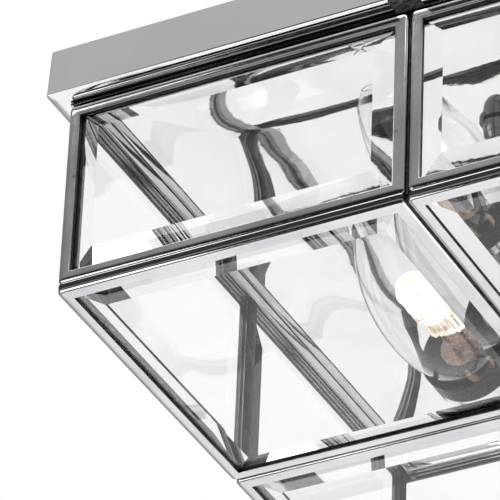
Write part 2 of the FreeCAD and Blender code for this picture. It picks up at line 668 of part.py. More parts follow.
def build_catch_clip():
    """Sprung clip in the pan that grips the blade on the box."""
    y_mid = -bar_out + touch + blade_t / 2
    gap = blade_t / 2 + clip_gap
    z0 = z_pan + pan_t + touch
    side_w = blade_w / 2 + clip_gap + clip_side_w
    clip = block(-side_w, side_w, y_mid - gap - clip_t, y_mid + gap + clip_t + clip_foot_l, z0, z0 + clip_t)
    slot_w_half = blade_w / 2 + clip_gap
    clip = clip.cut(block(-slot_w_half, slot_w_half, y_mid - gap, y_mid + gap, z0 - 1, z0 + 2))
    for side in (-1, 1):
        y = y_mid + side * (gap + clip_t / 2)
        wide, tall = (clip_back_w / 2, clip_back_h) if side > 0 else (blade_w / 2, clip_h)
        clip = clip.fuse(block(-wide, wide, y - clip_t / 2, y + clip_t / 2, z0, z0 + tall))
    save(clip.removeSplitter(), "catch_clip")


build_pan()
build_strap()
build_terminals()
build_grommets()
build_lampholders()
build_lamps()
build_catch_clip()
build_hinge()
build_walls()
build_bottom()
build_bars()
build_rim()
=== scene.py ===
# %% [markdown]
# # A porch ceiling lantern
# A shallow polished pan sits on the ceiling and a low square box of bevelled glass
# hangs below it. Two candle lamps lie flat under the pan. The solids of every part
# come from the CAD model, so this file adds what only a render needs: the studio,
# the finishes, and the fine shapes such as threads, solder and rolled edges.

# %% Load the frame
import json
import math
import bpy
import bmesh
from mathutils import Matrix, Vector


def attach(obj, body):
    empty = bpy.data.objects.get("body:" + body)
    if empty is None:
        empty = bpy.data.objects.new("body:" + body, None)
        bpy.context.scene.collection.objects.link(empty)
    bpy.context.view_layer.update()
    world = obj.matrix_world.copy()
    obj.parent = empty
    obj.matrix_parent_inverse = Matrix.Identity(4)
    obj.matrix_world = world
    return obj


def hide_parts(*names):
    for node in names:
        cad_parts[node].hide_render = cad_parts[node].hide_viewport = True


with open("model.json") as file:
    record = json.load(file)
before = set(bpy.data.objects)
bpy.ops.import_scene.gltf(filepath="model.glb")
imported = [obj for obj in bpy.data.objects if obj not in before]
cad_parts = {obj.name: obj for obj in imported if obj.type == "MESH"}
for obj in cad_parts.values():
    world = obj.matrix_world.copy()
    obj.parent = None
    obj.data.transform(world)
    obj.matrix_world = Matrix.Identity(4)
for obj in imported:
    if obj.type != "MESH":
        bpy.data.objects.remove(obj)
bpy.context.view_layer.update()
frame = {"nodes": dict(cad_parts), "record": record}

mm = 0.001


def put(name, data):
    """A new object in the scene that shows this data."""
    made = bpy.data.objects.new(name, data)
    bpy.context.collection.objects.link(made)
    return made


# %% [markdown]
# ## Node maths that reads like maths
# Finishes and shapes are both small sums in this file. Wiring every Math node by hand
# hides the sum, so one class wraps a socket and lets Python's own operators add the
# nodes. It serves material trees and Geometry Nodes trees alike.

# %% A socket with operators
class Wire:
    """An output socket. Arithmetic on it adds the Math nodes that work it out."""

    def __init__(self, graph, socket):
        self.graph, self.socket = graph, socket

    def math(self, operation, *others):
        slots = dict(enumerate((self,) + others))
        return self.graph.node("ShaderNodeMath", {"operation": operation}, slots)["Value"]

    def __rsub__(self, other):
        slots = {0: other, 1: self}
        return self.graph.node("ShaderNodeMath", {"operation": "SUBTRACT"}, slots)["Value"]

    def __add__(self, other): return self.math("ADD", other)
    def __sub__(self, other): return self.math("SUBTRACT", other)
    def __mul__(self, other): return self.math("MULTIPLY", other)
    def __truediv__(self, other): return self.math("DIVIDE", other)
    def __abs__(self): return self.math("ABSOLUTE")
    def least(self, other): return self.math("MINIMUM", other)
    def most(self, other): return self.math("MAXIMUM", other)
    def power(self, other): return self.math("POWER", other)
    def floor(self): return self.math("FLOOR")
    def sine(self): return self.math("SINE")
    def cosine(self): return self.math("COSINE")
    def sign(self): return self.math("SIGN")


print("Wire: a socket with operators")

# %% [markdown]
# Every other node comes from one method that takes the node's type, its settings and
# its inputs. Fades, blends and noise are so common that they get their own methods.
# Colours go through a Mix node, because a Math node would turn them grey.

# %% A node tree under construction
class Graph:
    """A node tree under construction: one method makes any node."""

    def __init__(self, tree):
        self.tree = tree

    def feed(self, slot, value):
        if isinstance(value, Wire):
            self.tree.links.new(value.socket, slot)
        elif isinstance(value, (tuple, list)) and len(value) == 3 and slot.type == "RGBA":
            slot.default_value = (*value, 1.0)
        else:
            slot.default_value = value

    def node(self, kind, settings=None, inputs=None):
        made = self.tree.nodes.new(kind)
        for key, value in (settings or {}).items():
            if key == "stops":
                ramp = made.color_ramp
                while len(ramp.elements) < len(value):
                    ramp.elements.new(0.5)
                for element, (at, colour) in zip(ramp.elements, value):
                    element.position, element.color = at, (*colour, 1.0)
            else:
                setattr(made, key, value)
        for key, value in (inputs or {}).items():
            self.feed(made.inputs[key], value)
        return {out.name: Wire(self, out) for out in made.outputs if out.enabled}

    def fade(self, value, low, high, to_low=0.0, to_high=1.0):
        """value from low to high becomes to_low to to_high, smoothly and clamped."""
        inputs = {"Value": value, "From Min": low, "From Max": high,
                  "To Min": to_low, "To Max": to_high}
        smooth = {"interpolation_type": "SMOOTHSTEP"}
        return self.node("ShaderNodeMapRange", smooth, inputs)["Result"]

    def blend(self, factor, first, second):
        """Colour between first and second."""
        made = self.tree.nodes.new("ShaderNodeMix")
        made.data_type = "RGBA"
        for slot, value in ((0, factor), (6, first), (7, second)):
            self.feed(made.inputs[slot], value)
        return Wire(self, made.outputs[2])

    def noise_at(self, place, scale, detail, rough=0.5):
        """Noise around 0.5 at a place, with scale lumps to a metre."""
        inputs = {"Vector": place, "Scale": scale, "Detail": detail, "Roughness": rough}
        out = self.node("ShaderNodeTexNoise", {"noise_dimensions": "3D"}, inputs)
        return out.get("Fac") or out["Factor"]


print("Graph: one method makes any node")

# %% [markdown]
# A finish is a material made of such sums. All of them read the Object coordinates,
# which are metres in the lantern's own frame, because every piece keeps its object at
# the origin. A lump size can then be written in millimetres and holds on every piece.

# %% A finish under construction
class Finish(Graph):
    """A material, with a few methods for common sums."""

    def __init__(self, name):
        self.material = bpy.data.materials.new(name)
        self.material.use_nodes = True
        super().__init__(self.material.node_tree)
        self.tree.nodes.clear()
        self.place = None

    def where(self):
        """Object coordinates, in metres in the lantern's own frame."""
        if self.place is None:
            self.place = self.node("ShaderNodeTexCoord")["Object"]
        return self.place

    def axes(self):
        split = self.node("ShaderNodeSeparateXYZ", None, {"Vector": self.where()})
        return split["X"], split["Y"], split["Z"]

    def noise(self, size, detail=2.0, rough=0.5, shift=0.0):
        """Noise with lumps about size metres across, as a value around 0.5."""
        place = self.where()
        if shift:
            moved_by = {"Vector": place, "Location": (shift, shift, shift)}
            place = self.node("ShaderNodeMapping", None, moved_by)["Vector"]
        return self.noise_at(place, 1.0 / size, detail, rough)

    def bump(self, height, depth, strength=1.0):
        """Normal from a height in units of depth metres."""
        inputs = {"Height": height, "Distance": depth, "Strength": strength}
        return self.node("ShaderNodeBump", None, inputs)["Normal"]

    def surface(self, **values):
        """The Principled shader, wired to the output. Names use _ for a space."""
        inputs = {key.replace("_", " "): value for key, value in values.items()}
        return self.finish_with(self.node("ShaderNodeBsdfPrincipled", None, inputs)["BSDF"])

    def finish_with(self, shader):
        out = self.tree.nodes.new("ShaderNodeOutputMaterial")
        self.tree.links.new(shader.socket, out.inputs["Surface"])
        return self.material


print("Finish: a material in metres of the lantern")

# %% [markdown]
# ## The studio
# A lantern of glass and mirror metal shows its surroundings more than itself. Cards
# around it would also show through the glass, so the world itself carries them. It is a
# white room that grows greyer overhead, so that surfaces facing down look light and
# upright ones mid grey. A grey patch on the left tones the side strips, a dark horizon
# gives the mirror its contrast, and a black patch in front draws the thin dark lines
# along every rounded edge. What the camera sees directly, or through glass, is white.

# %% White room
room = bpy.data.worlds.new("white_room")
bpy.context.scene.world = room
room.use_nodes = True
around = Graph(room.node_tree)
around.tree.nodes.clear()
direction = around.node("ShaderNodeTexCoord")["Generated"]
look = around.node("ShaderNodeSeparateXYZ", None, {0: direction})

# Grey by height, where 0 is straight down and 1 is straight up.
overhead = [(0.0, 1.0), (0.40, 1.0), (0.52, 0.66), (0.66, 0.42), (0.80, 0.44), (1.0, 0.60)]
cool = 1.01
stops = [(at, (grey, grey, grey * cool)) for at, grey in overhead]
height = (look["Z"] + 1.0) * 0.5
walls = around.node("ShaderNodeValToRGB", {"stops": stops}, {0: height})["Color"]


def between(value, start, full, last, end):
    """1 from full to last, fading to 0 at start and at end."""
    return around.fade(value, start, full) * around.fade(value, end, last)


left = around.fade(look["X"] * -1.0, 0.44, 0.60) * around.fade(look["Z"], 0.70, 0.45) * 0.68
horizon = between(look["Z"], -0.12, 0.06, 0.28, 0.44) * 0.88
front = around.fade(look["Y"] * -1.0, 0.28, 0.52) * between(look["Z"], -0.84, -0.66, 0.30, 0.52)
for patch, colour in ((left, (0.16, 0.16, 0.165)), (horizon, (0.03, 0.03, 0.031)),
                      (front, (0.018, 0.018, 0.019))):
    walls = around.blend(patch, walls, colour)

shades = [around.node("ShaderNodeBackground", None, {"Color": colour, "Strength": 1.0})
          for colour in (walls, (1, 1, 1))]
rays = around.node("ShaderNodeLightPath")
pick = around.node("ShaderNodeMixShader", None, {
    0: rays["Is Camera Ray"].most(rays["Is Transmission Ray"]),
    1: shades[0]["Background"], 2: shades[1]["Background"]})["Shader"]
around.node("ShaderNodeOutputWorld", None, {"Surface": pick})
print("room of", len(around.tree.nodes), "nodes")

# %% [markdown]
# The lantern hangs from a ceiling, so the floor lies far below it: a pale plain square
# with a faint shadow. A ceiling would hide the top of the pan, so it is left out.

# %% Pale floor
floor_reach, floor_z = 1.0, -1.7
corners = [(floor_reach * sx, floor_reach * sy, floor_z) for sx, sy in
           ((-1, -1), (1, -1), (1, 1), (-1, 1))]
floor_mesh = bpy.data.meshes.new("floor")
floor_mesh.from_pydata(corners, [], [(0, 1, 2, 3)])
floor = put("floor", floor_mesh)
paint = Finish("pale_floor")
tone = paint.blend(paint.noise(0.4, 3), (0.90, 0.90, 0.90), (0.93, 0.93, 0.93))
floor_mesh.materials.append(paint.surface(Base_Color=tone, Roughness=0.8))
print("floor at", floor_z, "m")

# %% [markdown]
# Three large soft lamps do the rest. Two stand low, left and right, and give the metal
# its long highlights. The third hangs above and lights the floor. Small lamps would
# leave hard bright dots in every rounded edge.

# %% Soft lamps
def soft_lamp(name, place, aim, size, power):
    """Square area lamp of that size in metres and power in watts, facing aim."""
    data = bpy.data.lights.new(name, "AREA")
    data.shape, data.size, data.energy = "SQUARE", size, power
    lamp = put(name, data)
    lamp.location = place
    lamp.rotation_euler = (Vector(aim) - Vector(place)).to_track_quat("-Z", "Y").to_euler()


lantern_middle = (0, 0, -0.05)
soft_lamp("key_lamp", (-1.3, -1.5, -0.5), lantern_middle, 1.0, 9.0)
soft_lamp("fill_lamp", (1.6, 0.9, -0.7), lantern_middle, 1.2, 6.0)
soft_lamp("floor_lamp", (0, 0, 1.6), (0, 0, floor_z), 3.0, 90.0)
bpy.context.scene.view_settings.view_transform = "Standard"
print(len(bpy.data.lights), "soft lamps")

# %% [markdown]
# ## The camera
# The picture is a close view from below with a very long lens, so that parallel
# edges stay almost parallel. Place, turn and focal length were worked out from the
# directions of the lantern's own edges, so that every seam falls where it should.

# %% Camera below the lantern
sensor_mm, focal_pixels, picture_pixels = 36.0, 4871.1, 500.0
eye_at = (0.514056, -1.147728, -0.907382)
eye_right = Vector((0.88836463, 0.45774357, 0.03576467))
eye_up = Vector((0.23517371, -0.52054461, 0.82080852))
eye_back = Vector((0.39433693, -0.72076635, -0.57008267))

lens_data = bpy.data.cameras.new("view_from_below")
lens_data.sensor_width = sensor_mm
lens_data.lens = sensor_mm * focal_pixels / picture_pixels
lens_data.clip_end = 50.0
eye = put("view_from_below", lens_data)
eye_turn = Matrix((eye_right, eye_up, eye_back)).transposed().to_4x4()
eye.matrix_world = Matrix.Translation(eye_at) @ eye_turn
bpy.context.scene.camera = eye
print("lens", round(lens_data.lens, 1), "mm")

# %% [markdown]
# ## Bright metal
# The nuts, brackets, caps and the folded rim are plated and polished, then handled: the
# reflection is sharp but a little uneven, and the plating is a shade darker in places.
# A constant colour and roughness would look like a mirror ball, so slow clouds vary
# both, and fine grain breaks the gloss.

# %% Plated finishes
soot = (0.05, 0.05, 0.055)


def plating(f, light, dark, rough):
    """Colour, roughness and fine grain that every plated surface shares."""
    cloud = f.noise(30 * mm, 3)
    grain = f.noise(1.6 * mm, 2)
    colour = f.blend(f.fade(cloud, 0.35, 0.7), light, dark)
    return colour, f.fade(grain + cloud * 0.6, 0.5, 1.1, *rough), grain


def specked(f, colour, tarnish):
    """The colour with specks that go towards black by the share tarnish."""
    speck = f.fade(f.noise(3.2 * mm, 4, 0.65), 0.62, 0.74) * tarnish
    return f.blend(speck, colour, soot)


def fine_grain(f, grain):
    return f.bump(grain * 0.15, 0.02 * mm, 0.6)


def plated(name, light, dark, rough, tarnish=0.0):
    f = Finish(name)
    colour, polish, grain = plating(f, light, dark, rough)
    if tarnish:
        colour = specked(f, colour, tarnish)
    return f.surface(Base_Color=colour, Metallic=1.0, Roughness=polish,
                     Normal=fine_grain(f, grain))


finishes = {}
for name, *values in (
        ("folded_rim", (0.60, 0.60, 0.61), (0.40, 0.40, 0.41), (0.04, 0.10), 0.15),
        # painted reflection: the chrome dome nuts are painted near black for the dark they
        # mirror
        ("polished_nut", (0.12, 0.12, 0.125), (0.07, 0.07, 0.073), (0.04, 0.09)),
        ("bright_steel", (0.50, 0.50, 0.51), (0.40, 0.40, 0.41), (0.2, 0.35)),
        ("zinc_steel", (0.66, 0.66, 0.65), (0.52, 0.53, 0.54), (0.22, 0.38), 0.15),
        ("brass", (0.74, 0.58, 0.30), (0.60, 0.45, 0.22), (0.2, 0.35)),
        ("lamp_cap", (0.70, 0.70, 0.69), (0.58, 0.58, 0.57), (0.18, 0.30)),
        ("lamp_stem", (0.50, 0.37, 0.29), (0.28, 0.20, 0.155), (0.16, 0.30))):
    finishes[name] = plated(name, *values)
print(len(finishes), "plated finishes")

# %% [markdown]
# ## The strips around the panes
# The strips are plated too, but the gaps where two of them meet and the lip's inner edge
# by the glass are painted near black, as painted shade in those recesses. A mask by place would
# need every
# seam's coordinates. The frame recipe further down leaves two attributes on its points
# instead: deep, below the face, and inset, from the outer rim, both in metres.

# %% Strip metal with painted shade in its gaps
def strip_metal(name, light, dark, tarnish):
    f = Finish(name)
    deep, inset = [f.node("ShaderNodeAttribute", {"attribute_name": key})["Fac"]
                   for key in ("deep", "inset")]
    colour, polish, grain = plating(f, light, dark, (0.07, 0.15))
    # painted shade: the seam gaps at the strip's back and the lip's inner edge go near black
    seam_shade = f.fade(deep, 1.45 * mm, 2.0 * mm) * f.fade(inset, 0.30 * mm, 0.05 * mm)
    lip_shade = f.fade(deep, 0.30 * mm, 0.50 * mm) * f.fade(inset, 3.9 * mm, 3.98 * mm)
    black = seam_shade.most(lip_shade)
    colour = f.blend(black, specked(f, colour, tarnish), (0.010, 0.010, 0.011))
    return f.surface(Base_Color=colour, Metallic=1.0 - black * 0.5,
                     Roughness=polish.most(black * 0.45), Normal=fine_grain(f, grain))


finishes["polished_strip"] = strip_metal("polished_strip", (0.60, 0.60, 0.605),
                                         (0.46, 0.46, 0.465), 0.35)
# painted light: a lighter copy of the strip metal for the bottom frames, whose faces look down
finishes["bright_strip"] = strip_metal("bright_strip", (0.78, 0.78, 0.795),
                                       (0.66, 0.66, 0.68), 0.2)
print("two strip metals")

# %% [markdown]
# ## The pan's mirror
# The pan is thin sheet, so its underside is a mirror with slow dents, and the dents bend
# the reflected bars into curves. They could be modelled, but they are less than a
# millimetre deep over a hand's width, and a mirror shows slope and not height, so a
# bump does it. Near the rolled edge the sheet is stiff and stays flat.

# %% Mirror with dents
pan_floor_z, rolled_edge = -17.5 * mm, 116 * mm
stiff, springy = 14 * mm, 40 * mm


def mirror_sheet(name):
    f = Finish(name)
    x, y, z = f.axes()
    slow = f.noise(85 * mm, 1.0, 0.4, shift=0.31)
    middling = f.noise(30 * mm, 1.0, 0.4, shift=0.11)
    inner = f.fade(abs(x).most(abs(y)), rolled_edge - stiff, rolled_edge - springy)
    under = f.fade(z, pan_floor_z + 1.5 * mm, pan_floor_z + 0.4 * mm)
    dents = (slow * 3.0 + middling * 0.24) * inner * under
    colour, polish, grain = plating(f, (0.915, 0.915, 0.92), (0.87, 0.87, 0.875),
                                    (0.012, 0.035))
    return f.surface(Base_Color=colour, Metallic=1.0, Roughness=polish,
                     Normal=f.bump(dents + grain * 0.003, 1.0 * mm))


finishes["polished_pan"] = mirror_sheet("polished_pan")
print("mirror sheet, dented within", round((rolled_edge - stiff) / mm), "mm of the middle")

# %% [markdown]
# ## Dark soldered bars
# The bars behind the seams are steel that was soldered and then darkened. They are
# lumpy, nearly black in the hollows and greyer where they were rubbed, so one noise
# drives both the colour and the bump. The thin runs along the foot of the walls stayed
# bright. The sprung clip sits in the shade behind the pan's notch and is painted near
# black as painted shade: the same finish with other colours.

# %% Darkened solder
def darkened(name, hollow, rubbed):
    f = Finish(name)
    lumps = f.noise(4.5 * mm, 3, 0.6)
    pits = f.noise(1.1 * mm, 2)
    smear = f.noise(18 * mm, 2)
    wear = f.fade(lumps * 0.6 + smear * 0.4, 0.42, 0.66)
    polish = f.fade(pits * 0.5 + lumps * 0.5, 0.3, 0.7, 0.55, 0.32)
    return f.surface(Base_Color=f.blend(wear, hollow, rubbed), Metallic=0.75,
                     Roughness=polish, Normal=f.bump(lumps + pits * 0.25, 0.9 * mm, 0.7))


for name, *values in (
        ("dark_solder", (0.008, 0.008, 0.0085), (0.055, 0.055, 0.057)),
        ("thin_solder", (0.50, 0.50, 0.505), (0.74, 0.74, 0.745)),
        # painted shade: the steel clip is painted near black because it lies in the pan's shade
        ("spring_black", (0.006, 0.006, 0.006), (0.020, 0.020, 0.021))):
    finishes[name] = darkened(name, *values)
print("dark solder, thin solder and painted shade black")

# %% [markdown]
# ## Glass
# Glass is clear from the front and faintly green in its bevels, where light travels
# further inside it. Its reflections are kept weak, because several panes lie behind
# each other and their sheen would veil the bars. A glass shader alone would shade the
# lamps and bars inside, so shadow rays pass straight through.

# %% Clear glass
def clear_glass(name, tint, ior, sheen, rough=0.0, edge=None, glow=None):
    """edge is the colour of faces that square up to no axis, which are the bevels. glow
    holds a function for the colour of the glass's own light, and the light's strength."""
    f = Finish(name)
    streaked = tuple(min(1.0, c + 0.012) for c in tint)
    colour = f.blend(f.noise(20 * mm, 2), tint, streaked)
    if edge:
        normal = f.node("ShaderNodeTexCoord")["Normal"]
        side = f.node("ShaderNodeSeparateXYZ", None, {0: normal})
        flat = abs(side["X"]).most(abs(side["Y"])).most(abs(side["Z"]))
        colour = f.blend(f.fade(flat, 0.999, 0.96) * 0.35, colour, edge)
    inputs = {"Base Color": colour, "Roughness": rough, "IOR": ior,
              "Transmission Weight": 1.0, "Specular Tint": (sheen, sheen, sheen, 1.0)}
    if glow:
        inputs.update({"Emission Color": glow[0](f), "Emission Strength": glow[1]})
    body = f.node("ShaderNodeBsdfPrincipled", None, inputs)["BSDF"]
    through = f.node("ShaderNodeBsdfTransparent", None, {"Color": tint})["BSDF"]
    in_shadow = f.node("ShaderNodeLightPath")["Is Shadow Ray"]
    mixed = f.node("ShaderNodeMixShader", None, {0: in_shadow, 1: body, 2: through})
    return f.finish_with(mixed["Shader"])


finishes["clear_glass"] = clear_glass("clear_glass", (0.976, 0.978, 0.978), 1.5, 0.3,
                                      edge=(0.90, 0.945, 0.93))
finishes["lamp_glass"] = clear_glass("lamp_glass", (0.988, 0.988, 0.988), 1.47, 0.15)
print("glass for the panes and the lamps")

# %% [markdown]
# The small capsule in each lamp is lit. A filament inside clear quartz would be truer,
# but what the eye sees is a white glare with a frosty edge, so the quartz itself
# glows: white along its body, specked towards the tip and the outer side, and fading
# to a warm glow over the ribs of the pinch. Lamp 1 lies at negative X with its tip
# towards negative Y, and lamp 2 the other way round, so the sign of X gives the
# distance along either of them.

# %% Lit quartz
lamp_x, lamp_z, capsule_tip = 44.1, -45.5, -25.0


def distance_along(x, y):
    """Distance along either lamp's axis, less towards its tip."""
    return y * x.sign() * -1.0


def lit_quartz(f):
    x, y, _ = f.axes()
    along = distance_along(x, y)
    frost = f.noise(2.1 * mm, 3, 0.65)
    tip_side = f.fade(along, -18 * mm, capsule_tip * mm)
    outer_side = f.fade(abs(x) - lamp_x * mm, 0.5 * mm, 5.0 * mm)
    specks = f.fade(frost + outer_side.most(tip_side) * 0.16, 0.52, 0.64)
    glare = f.blend(specks, (1.0, 0.965, 0.90), (0.44, 0.36, 0.28))
    ribs = f.fade((x * (2 * math.pi / 2.1 / mm)).cosine(), 0.1, 0.95)
    warm = f.blend(ribs, (0.22, 0.17, 0.125), (0.60, 0.53, 0.44))
    white = f.fade(along + frost * 3.0 * mm, -4.4 * mm, -6.8 * mm)
    return f.blend(white, warm, glare)


finishes["capsule_quartz"] = clear_glass("capsule_quartz", (0.46, 0.41, 0.36), 1.45, 0.3,
                                         rough=0.05, glow=(lit_quartz, 1.05))
print("lit quartz")

# %% [markdown]
# ## Moulded and soft parts
# The terminal block is pale moulded plastic, the bushes that guard the leads are black
# rubber, and each lamp's foot has a dark insulator. A mottled colour and a fine skin
# keep them from looking like plain paint.

# %% Moulded finishes
def moulded(name, light, dark, rough=(0.35, 0.5)):
    f = Finish(name)
    skin = f.noise(0.8 * mm, 2)
    return f.surface(Base_Color=f.blend(f.noise(12 * mm, 3), light, dark),
                     Roughness=f.fade(skin, 0.3, 0.7, *rough),
                     Normal=f.bump(skin, 0.05 * mm, 0.5))


for name, *values in (
        ("terminal_plastic", (0.80, 0.80, 0.77), (0.74, 0.74, 0.70)),
        ("black_rubber", (0.020, 0.020, 0.021), (0.032, 0.032, 0.033), (0.6, 0.8)),
        ("lamp_contact", (0.030, 0.030, 0.034), (0.05, 0.05, 0.05))):
    finishes[name] = moulded(name, *values)
print("plastic, rubber and insulator")

# %% [markdown]
# A lampholder has two materials: a dark moulded cup and mouth, and a bright plated
# sleeve behind them. The CAD part is one solid, and its shape may not be cut up, so one
# material holds both and a mask by place decides: the sleeve is what lies far enough
# along the axis and far enough out from it.

# %% Lampholder finish
def lampholder_finish(name):
    f = Finish(name)
    x, y, z = f.axes()
    from_axis = [(abs(x) - lamp_x * mm).power(2.0), (z - lamp_z * mm).power(2.0)]
    radius = (from_axis[0] + from_axis[1]).power(0.5)
    along = distance_along(x, y)
    rim = f.fade(radius, 14.6 * mm, 14.9 * mm)
    collar = f.fade(along, 29.0 * mm, 29.3 * mm) * f.fade(radius, 7.4 * mm, 8.6 * mm)
    sleeve = f.fade(along, 24.2 * mm, 24.6 * mm) * rim.most(collar)
    mottle = f.noise(10 * mm, 3)
    skin = f.noise(0.9 * mm, 2)
    dark = f.blend(mottle, (0.012, 0.0112, 0.011), (0.007, 0.0066, 0.0066))
    bright = f.blend(mottle, (0.86, 0.86, 0.87), (0.76, 0.76, 0.77))
    return f.surface(Base_Color=f.blend(sleeve, dark, bright), Metallic=sleeve,
                     Specular_IOR_Level=0.16,
                     Roughness=f.fade(skin, 0.3, 0.7, 0.24, 0.36) - sleeve * 0.18,
                     Normal=f.bump(skin, 0.02 * mm, 0.5))


finishes["dark_holder"] = lampholder_finish("dark_holder")
print(len(finishes), "finishes in all")

# %% [markdown]
# ## Dress the CAD parts
# Each CAD part already has a slot name in its record. The finish with that name goes
# onto it, and nothing about its shape or place is touched. A few parts share a slot
# with others and still look different: the strips of the bottom get a lighter copy of
# the strip metal, painted light for faces that look down into the bright room, the foot
# runs are bright solder, and the clip is painted black as painted shade.

# %% Finishes onto the parts
slot_of = {part["node"]: part["material_slot"] for part in frame["record"]["subparts"]}
# the clip's near black is painted shade
special = {"bottom_edge_bars": "thin_solder", "catch_clip": "spring_black"}
# the bottom frames take the lighter strip copy, painted light
special.update({"bottom_frame_%d" % number: "bright_strip" for number in (1, 2, 3, 4)})


def finish_of(node):
    return finishes[special.get(node, slot_of[node])]


for name, part in frame["nodes"].items():
    part.data.materials.clear()
    part.data.materials.append(finish_of(name))
print("dressed", len(slot_of), "parts")

# %% [markdown]
# ## Shapes grown by rule
# Geometry Nodes make the shapes that follow a rule or repeat. A recipe is one tree with
# named inputs for its sizes. Most recipes here bend a flat grid of points: a point's
# number across the grid becomes its place in a section, and its number along the grid
# becomes its place on the way, so the whole shape is one sum.

# %% A recipe under construction
class Recipe(Graph):
    """A Geometry Nodes tree under construction."""

    kinds = {float: "NodeSocketFloat", int: "NodeSocketInt",
             "object": "NodeSocketObject", "material": "NodeSocketMaterial"}

    def __init__(self, name, sizes):
        super().__init__(bpy.data.node_groups.new(name, "GeometryNodeTree"))
        self.sockets = {}
        interface = self.tree.interface
        for key, value in {**sizes, "Finish": "material"}.items():
            kind = self.kinds[value if isinstance(value, str) else type(value)]
            made = interface.new_socket(name=key, in_out="INPUT", socket_type=kind)
            if not isinstance(value, str):
                made.default_value = value
            self.sockets[key] = made.identifier
        interface.new_socket(name="Mesh", in_out="OUTPUT", socket_type="NodeSocketGeometry")
        given = self.tree.nodes.new("NodeGroupInput")
        self.given = {out.name: Wire(self, out) for out in given.outputs}

    def lattice(self, across, along):
        """A grid of points, and each point's number across and along."""
        sizes = {"Size X": across - 1.0, "Size Y": along - 1.0,
                 "Vertices X": across, "Vertices Y": along}
        grid = self.node("GeometryNodeMeshGrid", None, sizes)["Mesh"]
        position = self.node("GeometryNodeInputPosition")["Position"]
        place = self.node("ShaderNodeSeparateXYZ", None, {0: position})
        return grid, *[(place[axis] + count * 0.5).floor()
                       for axis, count in (("X", across), ("Y", along))]

    def marked(self, grid, name, value):
        """The grid with value kept on its points under that name."""
        on_points = {"data_type": "FLOAT", "domain": "POINT"}
        inputs = {"Geometry": grid, "Name": name, "Value": value}
        return self.node("GeometryNodeStoreNamedAttribute", on_points, inputs)["Geometry"]

    def placed(self, grid, x, y, z):
        """The grid's points moved to x, y, z, with coincident points joined."""
        spot = self.node("ShaderNodeCombineXYZ", None, {"X": x, "Y": y, "Z": z})["Vector"]
        there = self.node("GeometryNodeSetPosition", None, {"Geometry": grid, "Position": spot})
        joined = {"Geometry": there["Geometry"], "Distance": 0.004 * mm}
        return self.node("GeometryNodeMergeByDistance", None, joined)["Geometry"]

    def done(self, mesh):
        whole = self.node("GeometryNodeRealizeInstances", None, {"Geometry": mesh})
        inputs = {"Geometry": whole["Geometry"], "Material": self.given["Finish"]}
        coated = self.node("GeometryNodeSetMaterial", None, inputs)["Geometry"]
        out = self.tree.nodes.new("NodeGroupOutput")
        self.tree.links.new(coated.socket, out.inputs[0])
        print(self.tree.name, "recipe of", len(self.tree.nodes), "nodes")


print("Recipe: a tree with named sizes and a finish")

# %% [markdown]
# A recipe is given to an empty object as a modifier, the result is taken as a plain
# mesh, and the modifier goes. The mesh is then turned and moved to its place on the
# lantern, so that the object itself can stay at the origin.

# %% Grow a mesh and put it in place
def plain_mesh(thing):
    """The object's mesh with its modifiers in it, which then go."""
    seen = thing.evaluated_get(bpy.context.evaluated_depsgraph_get())
    mesh = bpy.data.meshes.new_from_object(seen)
    thing.modifiers.clear()
    return mesh


def grown(recipe, finish, **values):
    """Plain mesh of the recipe with these inputs. Names use _ for a space."""
    seed = put("seed", bpy.data.meshes.new("seed"))
    modifier = seed.modifiers.new("recipe", "NODES")
    modifier.node_group = recipe.tree
    for key, value in {**values, "Finish": finish}.items():
        modifier[recipe.sockets[key.replace("_", " ")]] = value
    mesh = plain_mesh(seed)
    bpy.data.objects.remove(seed)
    return mesh


def turned(degrees, axis):
    return Matrix.Rotation(math.radians(degrees), 4, axis)


def moved(x, y, z):
    return Matrix.Translation(Vector((x, y, z)) * mm)


print("meshes are grown, turned and moved")

# %% [markdown]
# One piece may hold several meshes, such as the four solder runs of the walls. They are
# joined, turned outwards and shaded smoothly with hard lines at the sharp corners, and
# the piece rides on its body.

# %% Make a piece
def merged(work):
    bmesh.ops.remove_doubles(work, verts=work.verts, dist=0.002 * mm)


def shaded(mesh, sharp, finish):
    """Smooth shading, with hard lines where faces meet at more than sharp degrees."""
    mesh.shade_smooth()
    mesh.set_sharp_from_angle(angle=math.radians(sharp))
    mesh.materials.clear()
    mesh.materials.append(finish)


def piece(name, meshes, body, slot, replaced=(), finish=None, sharp=35.0):
    """One object from one or more meshes in place, riding on body."""
    work = bmesh.new()
    for mesh in meshes:
        work.from_mesh(mesh)
    merged(work)
    bmesh.ops.recalc_face_normals(work, faces=work.faces)
    whole = bpy.data.meshes.new(name)
    work.to_mesh(whole)
    work.free()
    shaded(whole, sharp, finish or finishes[slot])
    made = put(name, whole)
    if replaced:
        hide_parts(*replaced)
    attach(made, body)


print("pieces ride on their bodies")

# %% [markdown]
# ## The strip frames
# Each pane sits in a frame of folded strip with a rounded outer edge, mitred corners
# and a groove for the glass. The CAD solid has the same section with a few flats. Here
# the section is drawn with its bead, a face that crowns by seven degrees towards it, a
# softened lip and the groove. The crown matters most: a flat face would reflect one
# even tone, and a crowned one shows the bright and dark lines of bent strip.

# %% Section of the strip
strip_depth, lip, lip_thick = 3.5, 4.0, 1.8
rim_metal, back_lip, back_thick = 0.8, 1.9, 0.5
bead, corner, softened, crown = 1.5, 1.8, 0.35, 7.0


def arc(centre, radius, start, stop, steps):
    """Points of an arc from start to stop degrees."""
    turns = [math.radians(start + (stop - start) * i / steps) for i in range(steps + 1)]
    return [(centre[0] + radius * math.cos(t), centre[1] + radius * math.sin(t))
            for t in turns]


